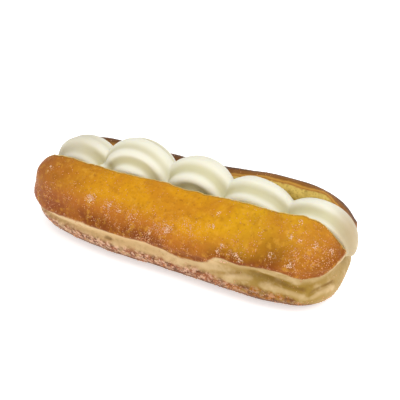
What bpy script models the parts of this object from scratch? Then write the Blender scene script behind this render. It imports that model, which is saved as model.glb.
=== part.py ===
"""A long john doughnut, split lengthways from the top and filled with piped cream.

The bun lies along X with its near flap at -Y, and it rests on Z = 0. Its two flaps are
joined along the bottom, so it is one solid. The cream is one solid too: a bed that fills
the split, and five shells piped on it one after the other with a star nozzle.
All lengths are in metres.
"""

import math
from typing import NamedTuple

import bmesh
import bpy
from mathutils import Vector

MM = 0.001

# Bun, as seen from above: a long oval, blunter and a little wider at its right end
LEFT_REACH = 87.8 * MM
RIGHT_REACH = 84.6 * MM
BUN_WIDTH = 65.8 * MM
WIDTH_GAIN = 3.4 * MM
LEFT_POWER = 3.3
NEAR_RIGHT_POWER = 3.8
FAR_RIGHT_POWER = 3.4
# The outline grows blunter from the widest band up to the top
TOP_POWER_GAIN = 1.3
# The far flap sags a little in its middle
FAR_DROP = 0.9 * MM
FAR_DROP_REACH = 12 * MM
FAR_DROP_MIDDLE = -5 * MM
FAR_DROP_FADE_START = 22 * MM
FAR_DROP_FADE_END = 48 * MM
BUN_SIDES = 84
BUN_RINGS = 34
# A sphere's vertex above this cosine is one of its two poles
POLE_COSINE = 0.99999

# Bun, as seen from the end: the inset from the outline and the height of each band
BASE_INSET = 19 * MM
BASE_EDGE = (15 * MM, 0.5 * MM)
LOWER_CORNER = (6.0 * MM, 4.4 * MM)
BOTTOM_BULGE = (2.0 * MM, 12 * MM)
BELT_WAIST = (3.2 * MM, 17.2 * MM)
CRUST_EDGE = (1.2 * MM, 21.5 * MM)
WIDEST = (0.0, 25.5 * MM)
UPPER_SIDE = (4.8 * MM, 35.5 * MM)
SHOULDER = (12.8 * MM, 42.5 * MM)
CREST = (18 * MM, 44.9 * MM)
TOP_MIDDLE_HEIGHT = 44.6 * MM
TOP_MIDDLE_REACH = 8 * MM

# The top crust hangs lower at the left end and rides up at the right, where the pale belt is taller
LEFT_DROP = 4.5 * MM
LEFT_DROP_START = 0 * MM
LEFT_DROP_END = 70 * MM
RIGHT_RISE = 4.5 * MM
RIGHT_RISE_START = 18 * MM
RIGHT_RISE_END = 58 * MM
# Share of that shift that each band takes
WAIST_SHARE = 0.5
EDGE_SHARE = 0.95
WIDEST_SHARE = 0.8
# The right end is also a little taller, and its lower side bulges further out
RIGHT_LIFT = 1.4 * MM
RIGHT_BULGE = 1.7 * MM
# Share of the lift that the upper side takes
SIDE_LIFT_SHARE = 0.5

# Split: half widths of the opening at its heights, its raised floor at the ends, and its wavy lips
SPLIT_SECTION = (
    (3.5 * MM, 17 * MM),
    (8.5 * MM, 23 * MM),
    (11 * MM, 33 * MM),
    (11.6 * MM, 42 * MM),
    (13.5 * MM, 46 * MM),
    (17 * MM, 56 * MM),
)
SPLIT_TOP = 70 * MM
SPLIT_REACH = 96 * MM
SPLIT_STATIONS = 25
LEFT_FLOOR_RISE = 9 * MM
RIGHT_FLOOR_RISE = 4 * MM
FLOOR_RISE_START = 58 * MM
FLOOR_RISE_END = 88 * MM
# The near lip curves in towards both ends
NEAR_LIP_TURN_IN = 2.2 * MM
TURN_IN_START = 45 * MM
TURN_IN_END = 78 * MM
# Above this height the far wall stands nearer to the middle than the near one
FAR_WALL_SHIFT = 3.1 * MM
FAR_SHIFT_HEIGHT = 33 * MM
LIP_WAVE = 0.5 * MM
LIP_WAVE_LENGTH = 41 * MM
# A second, shorter wave on each lip: its height as a share of the first, and how many fit in one of it
SHORT_WAVE_SHARE = 0.5
NEAR_SHORT_WAVES = 2.3
FAR_SHORT_WAVES = 2.7
# How far along their turn the waves start, in radians
NEAR_SHORT_WAVE_START = 1.0
FAR_WAVE_START = 2.0
GAP = 0.3 * MM

# Cream bed: a block with a top that is higher at the left and slopes down towards each end
BED_FLOOR = 12 * MM
BED_TOP_LEFT = 43.5 * MM
BED_TOP_RIGHT = 36.5 * MM
BED_START = -77 * MM
BED_END = 80 * MM
BED_LOW_LEFT = 24 * MM
BED_LOW_RIGHT = 26 * MM
BED_SLOPE_LEFT = -62 * MM
BED_SLOPE_RIGHT = 48 * MM

# Piped shells: ridges of the star nozzle, and the rings and sides of each swept tube
RIDGES = 6
RIDGE_DEPTH = 0.11
RIDGE_SQUARENESS = 0.7
RIDGE_TURN = -3.0
# The first shell is turned a little towards the near lip
FIRST_TURN = -12.0
# The tallest shell has narrower, shallower ridges
FINE_RIDGES = 8
FINE_RIDGE_DEPTH = 0.07
FINE_RIDGE_TURN = -1.0
# The grooves are shallower on top, just behind the crest, and on the tallest shell over the crest
TOP_SMOOTH_SHARE = 0.8
TOP_SMOOTH_ANGLE = math.radians(116)
CREST_SMOOTH_ANGLE = math.radians(88)
TOP_SMOOTH_WIDTH = math.radians(32)
# They are shallower low down too, where the cream bulges out against the near lip.
# The middle shell has a hollow there instead.
LOW_SMOOTH_SHARE = 0.9
LOW_BULGE = 0.16
LOW_ANGLE = math.radians(-24)
LOW_WIDTH = math.radians(26)
MIDDLE_TURN = -6.0
SHELL_SIDES = 48
SHELL_RINGS = 18
SHELL_RISE = 10 * MM
SHELL_SWEEP = math.radians(112)
# The last shell ends in a tail over the bun's right end: it stops higher and grows wider than it is thick
TAIL_SWEEP = math.radians(101)
TAIL_SPREAD = 0.3


class Shell(NamedTuple):
    """One piped shell: a ridged tube on an arch along the bun."""

    middle: float
    crest: float
    left: float
    right: float
    radius: float
    left_taper: float
    right_taper: float
    ridges: int = RIDGES
    ridge_depth: float = RIDGE_DEPTH
    turn: float = RIDGE_TURN
    top_angle: float = TOP_SMOOTH_ANGLE
    low_smooth: float = LOW_SMOOTH_SHARE
    low_bulge: float = LOW_BULGE
    right_sweep: float = SHELL_SWEEP
    right_spread: float = 0.0


SHELLS = (
    Shell(-57.7 * MM, 52.0 * MM, 10.5 * MM, 9.5 * MM, 10.8 * MM, 0.15, 0.15, turn=FIRST_TURN),
    Shell(
        -26.2 * MM,
        57.6 * MM,
        11 * MM,
        11 * MM,
        11.2 * MM,
        0.15,
        0.2,
        ridges=FINE_RIDGES,
        ridge_depth=FINE_RIDGE_DEPTH,
        turn=FINE_RIDGE_TURN,
        top_angle=CREST_SMOOTH_ANGLE,
    ),
    Shell(
        7.3 * MM,
        55.6 * MM,
        10 * MM,
        10 * MM,
        10.8 * MM,
        0.15,
        0.2,
        turn=MIDDLE_TURN,
        low_smooth=0.0,
        low_bulge=0.0,
    ),
    Shell(35.3 * MM, 51.2 * MM, 9.5 * MM, 15 * MM, 10.8 * MM, 0.15, 0.25),
    Shell(
        66.0 * MM,
        47.8 * MM,
        9 * MM,
        13.3 * MM,
        10.2 * MM,
        0.15,
        0.2,
        right_sweep=TAIL_SWEEP,
        right_spread=TAIL_SPREAD,
    ),
)

CRUST_COLOUR = (0.56, 0.25, 0.05, 1.0)
CRUST_ROUGHNESS = 0.55
CREAM_COLOUR = (0.90, 0.86, 0.66, 1.0)
CREAM_ROUGHNESS = 0.45


def clear_scene():
    """Removes whatever the file starts with."""
    for thing in list(bpy.data.objects):
        bpy.data.objects.remove(thing, do_unlink=True)


def make_finish(name, colour, roughness):
    """A plain Principled finish."""
    finish = bpy.data.materials.new(name)
    finish.use_nodes = True
    shader = finish.node_tree.nodes["Principled BSDF"]
    shader.inputs["Base Color"].default_value = colour
    shader.inputs["Roughness"].default_value = roughness
    shader.inputs["Metallic"].default_value = 0.0
    return finish


def ease(value, start, end):
    """A smooth step from 0 at start to 1 at end."""
    share = min(1.0, max(0.0, (value - start) / (end - start)))
    return share * share * (3 - 2 * share)


def through(points, share):
    """A smooth curve through the points, read at a share from 0 to 1."""
    place = min(share, 0.999999) * (len(points) - 1)
    index = int(place)
    step = place - index
    before = points[max(index - 1, 0)]
    start = points[index]
    end = points[index + 1]
    after = points[min(index + 2, len(points) - 1)]
    result = []
    for p, q, r, s in zip(before, start, end, after):
        bend = 2 * p - 5 * q + 4 * r - s
        twist = 3 * q - p - 3 * r + s
        result.append(0.5 * (2 * q + (r - p) * step + bend * step**2 + twist * step**3))
    return result


def half_width(x):
    """Half the bun's width, which grows from its left end to its right."""
    return (BUN_WIDTH + WIDTH_GAIN * x / (LEFT_REACH + RIGHT_REACH)) / 2


def crust_shift(x):
    """How much higher than in the middle the edge of the top crust lies at x."""
    drop = LEFT_DROP * ease(-x, LEFT_DROP_START, LEFT_DROP_END)
    rise = RIGHT_RISE * ease(x, RIGHT_RISE_START, RIGHT_RISE_END)
    return rise - drop


def bun_profile(share, x):
    """Inset and height of the bun's skin, from the middle of its base (0) over its side to its top (1)."""
    shift = crust_shift(x)
    right = ease(x, RIGHT_RISE_START, RIGHT_RISE_END)
    lift = RIGHT_LIFT * right
    bulge = RIGHT_BULGE * right
    middle = half_width(x)
    points = (
        (middle, 0.0),
        (BASE_INSET, 0.0),
        (BASE_EDGE[0] - bulge, BASE_EDGE[1]),
        (LOWER_CORNER[0] - bulge, LOWER_CORNER[1]),
        (BOTTOM_BULGE[0] - bulge, BOTTOM_BULGE[1]),
        (BELT_WAIST[0], BELT_WAIST[1] + WAIST_SHARE * shift),
        (CRUST_EDGE[0], CRUST_EDGE[1] + EDGE_SHARE * shift),
        (WIDEST[0], WIDEST[1] + WIDEST_SHARE * shift),
        (UPPER_SIDE[0], UPPER_SIDE[1] + SIDE_LIFT_SHARE * lift),
        (SHOULDER[0], SHOULDER[1] + lift),
        (CREST[0], CREST[1] + lift),
        (middle - TOP_MIDDLE_REACH, TOP_MIDDLE_HEIGHT + lift),
        (middle, TOP_MIDDLE_HEIGHT + lift),
    )
    inset, height = through(points, share)
    return min(inset, middle), max(height, 0.0)


def outline_point(angle, inset, height):
    """A point of the bun's outline at a height, drawn in by inset."""
    cosine = math.cos(angle)
    sine = math.sin(angle)
    blunt = TOP_POWER_GAIN * ease(height, WIDEST[1], CREST[1])
    right_power = FAR_RIGHT_POWER if sine > 0 else NEAR_RIGHT_POWER
    power = 2 / ((right_power if cosine > 0 else LEFT_POWER) + blunt)
    reach = RIGHT_REACH if cosine > 0 else LEFT_REACH
    along = math.copysign(abs(cosine) ** power, cosine)
    across = math.copysign(abs(sine) ** power, sine)
    return (reach - inset) * along, (half_width(reach * along) - inset) * across


def far_sag(x, y):
    """How much lower than the near flap the far flap stands at (x, y)."""
    middle = 1 - ease(abs(x - FAR_DROP_MIDDLE), FAR_DROP_FADE_START, FAR_DROP_FADE_END)
    return FAR_DROP * middle * ease(y, 0.0, FAR_DROP_REACH)


def new_object(name, bm):
    """Turns the bmesh into a named object with smooth shading."""
    bmesh.ops.recalc_face_normals(bm, faces=bm.faces)
    mesh = bpy.data.meshes.new(name)
    bm.to_mesh(mesh)
    bm.free()
    mesh.shade_smooth()
    thing = bpy.data.objects.new(name, mesh)
    bpy.context.scene.collection.objects.link(thing)
    return thing


def start_ring(bm, sides):
    """The capped first ring of a swept form."""
    return bmesh.ops.create_circle(bm, cap_ends=True, segments=sides, radius=1.0)["verts"]


def next_ring(bm, ring):
    """Extrudes the open ring and returns the new one, in the same order round."""
    edges = [edge for edge in bm.edges if edge.is_boundary]
    made = bmesh.ops.extrude_edge_only(bm, edges=edges)["geom"]
    new_verts = {item for item in made if isinstance(item, bmesh.types.BMVert)}
    grown = []
    for vertex in ring:
        grown.extend(edge.other_vert(vertex) for edge in vertex.link_edges if edge.other_vert(vertex) in new_verts)
    return grown


def build_loaf():
    """The bun before it is split: each ring of a sphere becomes its outline at one height."""
    bm = bmesh.new()
    bmesh.ops.create_uvsphere(bm, u_segments=BUN_SIDES, v_segments=BUN_RINGS, radius=1.0)
    for vertex in bm.verts:
        share = 1 - math.acos(max(-1.0, min(1.0, vertex.co.z))) / math.pi
        angle = math.atan2(vertex.co.y, vertex.co.x)
        outer_x, _ = outline_point(angle, 0.0, 0.0)
        inset, height = bun_profile(share, outer_x)
        x, y = outline_point(angle, inset, height)
        height -= far_sag(x, y) * ease(height, WIDEST[1], CREST[1])
        at_pole = abs(vertex.co.z) > POLE_COSINE
        vertex.co = Vector((0.0, 0.0, height)) if at_pole else Vector((x, y, height))
    return new_object("bun", bm)


def split_ring(x, gap):
    """Section of the split at x, as (y, z) points from its near top round its floor to its far top."""
    turn = 2 * math.pi * x / LIP_WAVE_LENGTH
    near_short = SHORT_WAVE_SHARE * math.sin(NEAR_SHORT_WAVES * turn + NEAR_SHORT_WAVE_START)
    near_wave = LIP_WAVE * (math.sin(turn) + near_short)
    near_wave -= NEAR_LIP_TURN_IN * ease(abs(x), TURN_IN_START, TURN_IN_END)
    far_short = SHORT_WAVE_SHARE * math.sin(FAR_SHORT_WAVES * turn)
    far_wave = LIP_WAVE * (math.sin(turn + FAR_WAVE_START) + far_short)
    rise = LEFT_FLOOR_RISE if x < 0 else RIGHT_FLOOR_RISE
    lift = rise * ease(abs(x), FLOOR_RISE_START, FLOOR_RISE_END)
    heights = [(half, height) for half, height in SPLIT_SECTION]
    heights.append((SPLIT_SECTION[-1][0], SPLIT_TOP))
    lip_height = SPLIT_SECTION[3][1]
    floor_height = SPLIT_SECTION[0][1]
    near = []
    far = []
    for half, height in heights:
        share = max(0.0, (lip_height - height) / (lip_height - floor_height))
        shift = FAR_WALL_SHIFT * min(1.0, (height - floor_height) / (FAR_SHIFT_HEIGHT - floor_height))
        lifted = height + lift * share + gap
        near.insert(0, (gap - half - near_wave, lifted))
        far.append((half - gap + far_wave - shift, lifted))
    return near + far


def build_split(name, gap):
    """The room of the split, drawn in by the gap, as a tool that runs out past both ends."""
    bm = bmesh.new()
    ring = start_ring(bm, len(split_ring(0.0, gap)))
    for station in range(SPLIT_STATIONS):
        x = SPLIT_REACH * (2 * station / (SPLIT_STATIONS - 1) - 1)
        if station:
            ring = next_ring(bm, ring)
        for vertex, (y, z) in zip(ring, split_ring(x, gap)):
            vertex.co = Vector((x, y, z))
    bmesh.ops.contextual_create(bm, geom=ring)
    tool = new_object(name, bm)
    tool.hide_render = True
    tool.display_type = "WIRE"
    return tool


def hump(angle, middle, width):
    """A soft hump of height 1 at its middle angle, which fades over the width."""
    away = math.remainder(angle - middle, math.tau) / width
    return math.exp(-(away**2))


def star(angle, shell):
    """Radius of the nozzle's star at an angle round a shell's tube, as a share of the tube's radius."""
    lobe = math.cos(shell.ridges * (angle - math.pi / 2 - math.radians(shell.turn)))
    rise = math.tanh(RIDGE_SQUARENESS * lobe) / math.tanh(RIDGE_SQUARENESS)
    low = hump(angle, LOW_ANGLE, LOW_WIDTH)
    kept = 1 - TOP_SMOOTH_SHARE * hump(angle, shell.top_angle, TOP_SMOOTH_WIDTH)
    kept *= 1 - shell.low_smooth * low
    return 1 - shell.ridge_depth * (1 - rise) * kept + shell.low_bulge * low


def build_shell(index, shell):
    """A ridged tube that rises out of the bed, over its crest and down into the bed again."""
    bm = bmesh.new()
    ring = start_ring(bm, SHELL_SIDES)
    base = shell.crest - shell.radius - SHELL_RISE
    for station in range(SHELL_RINGS):
        share = 2 * station / (SHELL_RINGS - 1) - 1
        sweep = (SHELL_SWEEP if share < 0 else shell.right_sweep) * share
        reach, taper = (shell.left, shell.left_taper) if share < 0 else (shell.right, shell.right_taper)
        width = 1 + shell.right_spread * ease(share, 0.0, 1.0)
        centre = Vector((shell.middle + reach * math.sin(sweep), 0.0, base + SHELL_RISE * math.cos(sweep)))
        outward = Vector((SHELL_RISE * math.sin(sweep), 0.0, reach * math.cos(sweep))).normalized()
        radius = shell.radius * (1 - taper * share * share)
        if station:
            ring = next_ring(bm, ring)
        for number, vertex in enumerate(ring):
            angle = 2 * math.pi * number / SHELL_SIDES
            size = radius * star(angle, shell)
            across = -size * width * math.cos(angle)
            vertex.co = centre + outward * (size * math.sin(angle)) + Vector((0.0, across, 0.0))
    bmesh.ops.contextual_create(bm, geom=ring)
    return new_object(f"shell_{index}", bm)


def build_bed():
    """The cream below the shells: a block that the split's own room then trims."""
    bm = bmesh.new()
    bmesh.ops.create_cube(bm, size=1.0)
    for x in (BED_SLOPE_LEFT, BED_SLOPE_RIGHT):
        bmesh.ops.bisect_plane(
            bm,
            geom=bm.verts[:] + bm.edges[:] + bm.faces[:],
            plane_co=((x - BED_START) / (BED_END - BED_START) - 0.5, 0.0, 0.0),
            plane_no=(1.0, 0.0, 0.0),
        )
    for vertex in bm.verts:
        x = BED_START + (BED_END - BED_START) * (vertex.co.x + 0.5)
        if x < BED_SLOPE_LEFT - MM:
            top = BED_LOW_LEFT
        elif x < 0:
            top = BED_TOP_LEFT
        elif x < BED_SLOPE_RIGHT + MM:
            top = BED_TOP_RIGHT
        else:
            top = BED_LOW_RIGHT
        vertex.co = Vector((x, BUN_WIDTH * vertex.co.y, BED_FLOOR + (top - BED_FLOOR) * (vertex.co.z + 0.5)))
    return new_object("bed", bm)


def add_boolean(thing, operation, other):
    """Joins, cuts or trims a solid with another one."""
    change = thing.modifiers.new(operation.title(), "BOOLEAN")
    change.operation = operation
    change.solver = "EXACT"
    change.object = other


def apply_modifiers(thing):
    """Gives an object the mesh that its modifiers make."""
    bpy.context.view_layer.update()
    graph = bpy.context.evaluated_depsgraph_get()
    made = bpy.data.meshes.new_from_object(thing.evaluated_get(graph))
    thing.modifiers.clear()
    thing.data = made


def build_cream(finish):
    """Bed and shells joined, then trimmed to the split with a gap to the crumb."""
    cream = build_bed()
    shells = [build_shell(index, shell) for index, shell in enumerate(SHELLS, 1)]
    for shell in shells:
        add_boolean(cream, "UNION", shell)
    room = build_split("cream_room", GAP)
    add_boolean(cream, "INTERSECT", room)
    apply_modifiers(cream)
    for thing in shells + [room]:
        bpy.data.objects.remove(thing, do_unlink=True)
    cream.name = "cream"
    cream.data.materials.clear()
    cream.data.materials.append(finish)
    return cream


def build_bun(finish):
    """The loaf with the split cut out of its top and both ends."""
    bun = build_loaf()
    bun.data.materials.append(finish)
    add_boolean(bun, "DIFFERENCE", build_split("split_cutter", 0.0))
    return bun


def main():
    """Builds the doughnut."""
    clear_scene()
    build_bun(make_finish("crust", CRUST_COLOUR, CRUST_ROUGHNESS))
    build_cream(make_finish("cream", CREAM_COLOUR, CREAM_ROUGHNESS))


main()
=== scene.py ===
"""A long john doughnut, split lengthways from the top and filled with piped whipped cream.

The bun lies along X with its near flap at -Y, and it rests on Z = 0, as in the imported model.
All lengths are in metres.
"""

import logging
import math
import random
from dataclasses import dataclass
from enum import Enum

import bmesh
import bpy
from mathutils import Euler, Matrix, Quaternion, Vector, noise
from mathutils.bvhtree import BVHTree


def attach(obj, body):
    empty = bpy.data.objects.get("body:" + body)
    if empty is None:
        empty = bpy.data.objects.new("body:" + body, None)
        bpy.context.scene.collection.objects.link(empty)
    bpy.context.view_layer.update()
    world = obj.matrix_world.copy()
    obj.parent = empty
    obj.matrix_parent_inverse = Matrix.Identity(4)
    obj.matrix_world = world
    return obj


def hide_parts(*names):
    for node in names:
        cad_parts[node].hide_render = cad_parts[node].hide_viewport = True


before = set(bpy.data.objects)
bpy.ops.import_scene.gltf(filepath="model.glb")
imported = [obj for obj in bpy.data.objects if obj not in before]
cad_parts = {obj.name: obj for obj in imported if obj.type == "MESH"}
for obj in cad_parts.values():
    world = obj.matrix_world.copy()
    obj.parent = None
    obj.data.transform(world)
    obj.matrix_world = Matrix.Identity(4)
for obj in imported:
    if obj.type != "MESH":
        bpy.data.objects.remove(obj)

LOG = logging.getLogger("doughnut")
MM = 0.001
BODY = "root"
PHOTO_PIXELS = 400
NOISE_MIDDLE = 0.5
Colour = tuple[float, float, float, float]
Pixel = tuple[float, float]


class Attribute(Enum):
    """What the meshes store at their vertices for their finishes."""

    EDGE = "edge"
    SKIN = "skin"
    CREASE = "crease"
    LIP = "lip"
    DUST = "dust"
    GROOVE = "groove"


def paint(red: float, green: float, blue: float) -> Colour:
    """Turns a colour as a screen shows it, from 0 to 255, into the linear one that shaders take."""
    shares = [value / 255 for value in (red, green, blue)]
    linear = [share / 12.92 if share <= 0.04045 else ((share + 0.055) / 1.055) ** 2.4 for share in shares]
    return (linear[0], linear[1], linear[2], 1.0)


def ease(value: float, start: float, end: float) -> float:
    """A smooth step from 0 at start to 1 at end."""
    share = min(1.0, max(0.0, (value - start) / (end - start)))
    return share * share * (3 - 2 * share)


def hump(distance: float, width: float) -> float:
    """A soft hump of height 1 at no distance, which fades over the width."""
    return math.exp(-((distance / width) ** 2))


def through(points: tuple[tuple[float, float], ...], share: float) -> list[float]:
    """Reads a smooth curve through points.

    Args:
        points: The points that the curve runs through.
        share: How far along the curve to read, from 0 to 1.

    Returns:
        The point of the curve there.
    """
    place = min(share, 0.999999) * (len(points) - 1)
    index = int(place)
    step = place - index
    before = points[max(index - 1, 0)]
    start = points[index]
    end = points[index + 1]
    after = points[min(index + 2, len(points) - 1)]
    result = []
    for p, q, r, s in zip(before, start, end, after):
        bend = 2 * p - 5 * q + 4 * r - s
        twist = 3 * q - p - 3 * r + s
        result.append(0.5 * (2 * q + (r - p) * step + bend * step**2 + twist * step**3))
    return result


def new_piece(name: str, bm: bmesh.types.BMesh, outward: bool = True) -> bpy.types.Object:
    """Turns a bmesh into a smooth object and frees it.

    Args:
        name: The object's name.
        bm: Its shape.
        outward: Whether to turn its faces outwards.

    Returns:
        The new object, linked to the scene.
    """
    if outward:
        bmesh.ops.recalc_face_normals(bm, faces=bm.faces)
    mesh = bpy.data.meshes.new(name)
    bm.to_mesh(mesh)
    bm.free()
    mesh.shade_smooth()
    piece = bpy.data.objects.new(name, mesh)
    bpy.context.scene.collection.objects.link(piece)
    return piece


def settle(piece: bpy.types.Object) -> None:
    """Gives an object the mesh that its modifiers make."""
    bpy.context.view_layer.update()
    graph = bpy.context.evaluated_depsgraph_get()
    made = bpy.data.meshes.new_from_object(piece.evaluated_get(graph))
    made.name = piece.name
    piece.modifiers.clear()
    piece.data = made


def combine(piece: bpy.types.Object, operation: str, other: bpy.types.Object) -> None:
    """Joins, cuts or trims a closed shape with another one and removes the other.

    Args:
        piece: The shape that is kept.
        operation: UNION, DIFFERENCE or INTERSECT.
        other: The shape that is used up.
    """
    change = piece.modifiers.new("combine", "BOOLEAN")
    change.operation = operation
    change.solver = "MANIFOLD"
    change.object = other
    settle(piece)
    bpy.data.objects.remove(other, do_unlink=True)


def store(piece: bpy.types.Object, attribute: Attribute, values: list[float]) -> None:
    """Stores one number for each vertex of a piece."""
    layer = piece.data.attributes.new(attribute.value, "FLOAT", "POINT")
    layer.data.foreach_set("value", values)


def read(piece: bpy.types.Object, attribute: Attribute) -> list[float]:
    """Reads back what is stored at the vertices of a piece."""
    layer = piece.data.attributes[attribute.value]
    values = [0.0] * len(layer.data)
    layer.data.foreach_get("value", values)
    return values


def distances(surface: BVHTree, points: list[Vector], reach: float) -> list[float]:
    """How many millimetres points lie from a surface, or the reach where it is further."""
    ways = [surface.find_nearest(point, reach)[3] for point in points]
    return [(reach if way is None else way) / MM for way in ways]


def make_tube(columns: int, rows: int) -> bmesh.types.BMesh:
    """Starts a tube as a flat grid whose co.x runs from 0 to 1 along it and co.y from 0 to 1 round it."""
    bm = bmesh.new()
    bmesh.ops.create_grid(bm, x_segments=columns, y_segments=rows, size=0.5)
    bmesh.ops.translate(bm, verts=bm.verts, vec=(0.5, 0.5, 0.0))
    return bm


def close_tube(bm: bmesh.types.BMesh) -> None:
    """Joins a rolled grid along its seam and closes its two ends."""
    bmesh.ops.remove_doubles(bm, verts=bm.verts, dist=1e-6)
    rims = [edge for edge in bm.edges if edge.is_boundary]
    bmesh.ops.holes_fill(bm, edges=rims)


@dataclass(frozen=True)
class Fade:
    """A smooth change from 0 at its start to an amount at its end, which may be the lower one."""

    start: float
    end: float
    amount: float = 1.0

    def at(self, value: float) -> float:
        """How much of the change has come at a value."""
        return self.amount * ease(value, self.start, self.end)


@dataclass(frozen=True)
class Cloud:
    """Soft noise: the size of its patches, how many finer layers it has, and how strong those are."""

    size: float
    detail: float = 2.0
    rough: float = 0.5


@dataclass(frozen=True)
class Patches:
    """Scattered soft patches: none where the noise is below low, their whole amount above high."""

    size: float
    low: float
    high: float
    amount: float
    detail: float = 3.0
    rough: float = 0.6

    def cloud(self) -> Cloud:
        """The noise that the patches are read from."""
        return Cloud(self.size, self.detail, self.rough)


class NodeBoard:
    """Adds shader nodes to one material and links them."""

    def __init__(self, name: str) -> None:
        """Starts a material with a Principled shader."""
        self.material = bpy.data.materials.new(name)
        self.material.use_nodes = True
        self.nodes = self.material.node_tree.nodes
        self.links = self.material.node_tree.links
        self.shader = self.nodes["Principled BSDF"]
        self.place = self.nodes.new("ShaderNodeTexCoord").outputs["Object"]

    def feed(self, socket: bpy.types.NodeSocket, source: object) -> None:
        """Links a node's output to a socket, or sets the socket's value."""
        if isinstance(source, bpy.types.NodeSocket):
            self.links.new(source, socket)
        else:
            socket.default_value = source

    def set(self, **values: object) -> None:
        """Feeds the shader's sockets, named in lower case with underscores."""
        for name, value in values.items():
            self.feed(self.shader.inputs[name.replace("_", " ").title().replace("Ior", "IOR")], value)

    def scaled(self, size: float) -> bpy.types.NodeSocket:
        """Object coordinates divided by a size, moved so that patterns of other sizes don't line up."""
        mapping = self.nodes.new("ShaderNodeMapping")
        mapping.inputs["Location"].default_value = (size / MM, 2 * size / MM, 3 * size / MM)
        mapping.inputs["Scale"].default_value = (1 / size, 1 / size, 1 / size)
        self.links.new(self.place, mapping.inputs["Vector"])
        return mapping.outputs["Vector"]

    def cloud(self, cloud: Cloud) -> bpy.types.NodeSocket:
        """Soft noise around its middle value."""
        node = self.nodes.new("ShaderNodeTexNoise")
        node.inputs["Scale"].default_value = 1.0
        node.inputs["Detail"].default_value = cloud.detail
        node.inputs["Roughness"].default_value = cloud.rough
        self.links.new(self.scaled(cloud.size), node.inputs["Vector"])
        return node.outputs["Fac"]

    def swing(self, cloud: Cloud, reach: float) -> bpy.types.NodeSocket:
        """Soft noise around 0, multiplied by a reach."""
        return self.times(self.calc("SUBTRACT", self.cloud(cloud), NOISE_MIDDLE), reach)

    def cells(self, size: float) -> bpy.types.NodeSocket:
        """Distance to the nearest of many scattered points, as a share of the size."""
        node = self.nodes.new("ShaderNodeTexVoronoi")
        node.inputs["Scale"].default_value = 1.0
        self.links.new(self.scaled(size), node.inputs["Vector"])
        return node.outputs["Distance"]

    def mottle(self, patches: Patches) -> bpy.types.NodeSocket:
        """A share that is 0 between scattered soft patches and rises to their amount in them."""
        return self.fade(self.cloud(patches.cloud()), Fade(patches.low, patches.high, patches.amount))

    def reading(self, attribute: Attribute) -> bpy.types.NodeSocket:
        """A number stored at the vertices."""
        node = self.nodes.new("ShaderNodeAttribute")
        node.attribute_name = attribute.value
        return node.outputs["Fac"]

    def axis(self, letter: str) -> bpy.types.NodeSocket:
        """One of the Object coordinates."""
        node = self.nodes.new("ShaderNodeSeparateXYZ")
        self.links.new(self.place, node.inputs[0])
        return node.outputs[letter]

    def fade(self, value: bpy.types.NodeSocket, fade: Fade) -> bpy.types.NodeSocket:
        """A smooth change along a value."""
        upwards = fade.start < fade.end
        node = self.nodes.new("ShaderNodeMapRange")
        node.interpolation_type = "SMOOTHSTEP"
        self.links.new(value, node.inputs["Value"])
        node.inputs["From Min"].default_value = min(fade.start, fade.end)
        node.inputs["From Max"].default_value = max(fade.start, fade.end)
        node.inputs["To Min"].default_value = 0.0 if upwards else fade.amount
        node.inputs["To Max"].default_value = fade.amount if upwards else 0.0
        return node.outputs["Result"]

    def calc(self, operation: str, first: object, second: object) -> bpy.types.NodeSocket:
        """A Math node on two sockets or numbers."""
        node = self.nodes.new("ShaderNodeMath")
        node.operation = operation
        self.feed(node.inputs[0], first)
        self.feed(node.inputs[1], second)
        return node.outputs[0]

    def times(self, first: bpy.types.NodeSocket, *others: object) -> bpy.types.NodeSocket:
        """The product of a socket and more sockets or numbers."""
        for other in others:
            first = self.calc("MULTIPLY", first, other)
        return first

    def tint(self, tone: object, *layers: tuple[bpy.types.NodeSocket, object]) -> bpy.types.NodeSocket:
        """Blends layers, each a share and a colour, into a tone one after the other."""
        for share, colour in layers:
            tone = self.mix(share, tone, colour)
        return tone

    def mix(self, share: object, first: object, second: object) -> bpy.types.NodeSocket:
        """Blends two colours, each a socket or a colour, by a share from 0 to 1."""
        node = self.nodes.new("ShaderNodeMix")
        node.data_type = "RGBA"
        node.clamp_factor = True
        self.feed(node.inputs["Factor"], share)
        self.feed(next(socket for socket in node.inputs if socket.identifier == "A_Color"), first)
        self.feed(next(socket for socket in node.inputs if socket.identifier == "B_Color"), second)
        return next(socket for socket in node.outputs if socket.identifier == "Result_Color")

    def ramp(self, value: bpy.types.NodeSocket, *stops: tuple[float, Colour]) -> bpy.types.NodeSocket:
        """A colour read from stops along a value."""
        node = self.nodes.new("ShaderNodeValToRGB")
        bar = node.color_ramp.elements
        bar[0].position, bar[0].color = stops[0]
        bar[1].position, bar[1].color = stops[-1]
        for position, colour in stops[1:-1]:
            bar.new(position).color = colour
        self.links.new(value, node.inputs[0])
        return node.outputs[0]

    def bump(self, height: bpy.types.NodeSocket, depth: float, under: object = None) -> bpy.types.NodeSocket:
        """Fine relief in the shading.

        Args:
            height: A value from 0 to 1.
            depth: How deep the relief is between them.
            under: Another relief that this one lies on.

        Returns:
            The bent normal.
        """
        node = self.nodes.new("ShaderNodeBump")
        node.inputs["Distance"].default_value = depth
        self.links.new(height, node.inputs["Height"])
        if under is not None:
            self.links.new(under, node.inputs["Normal"])
        return node.outputs[0]


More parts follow.
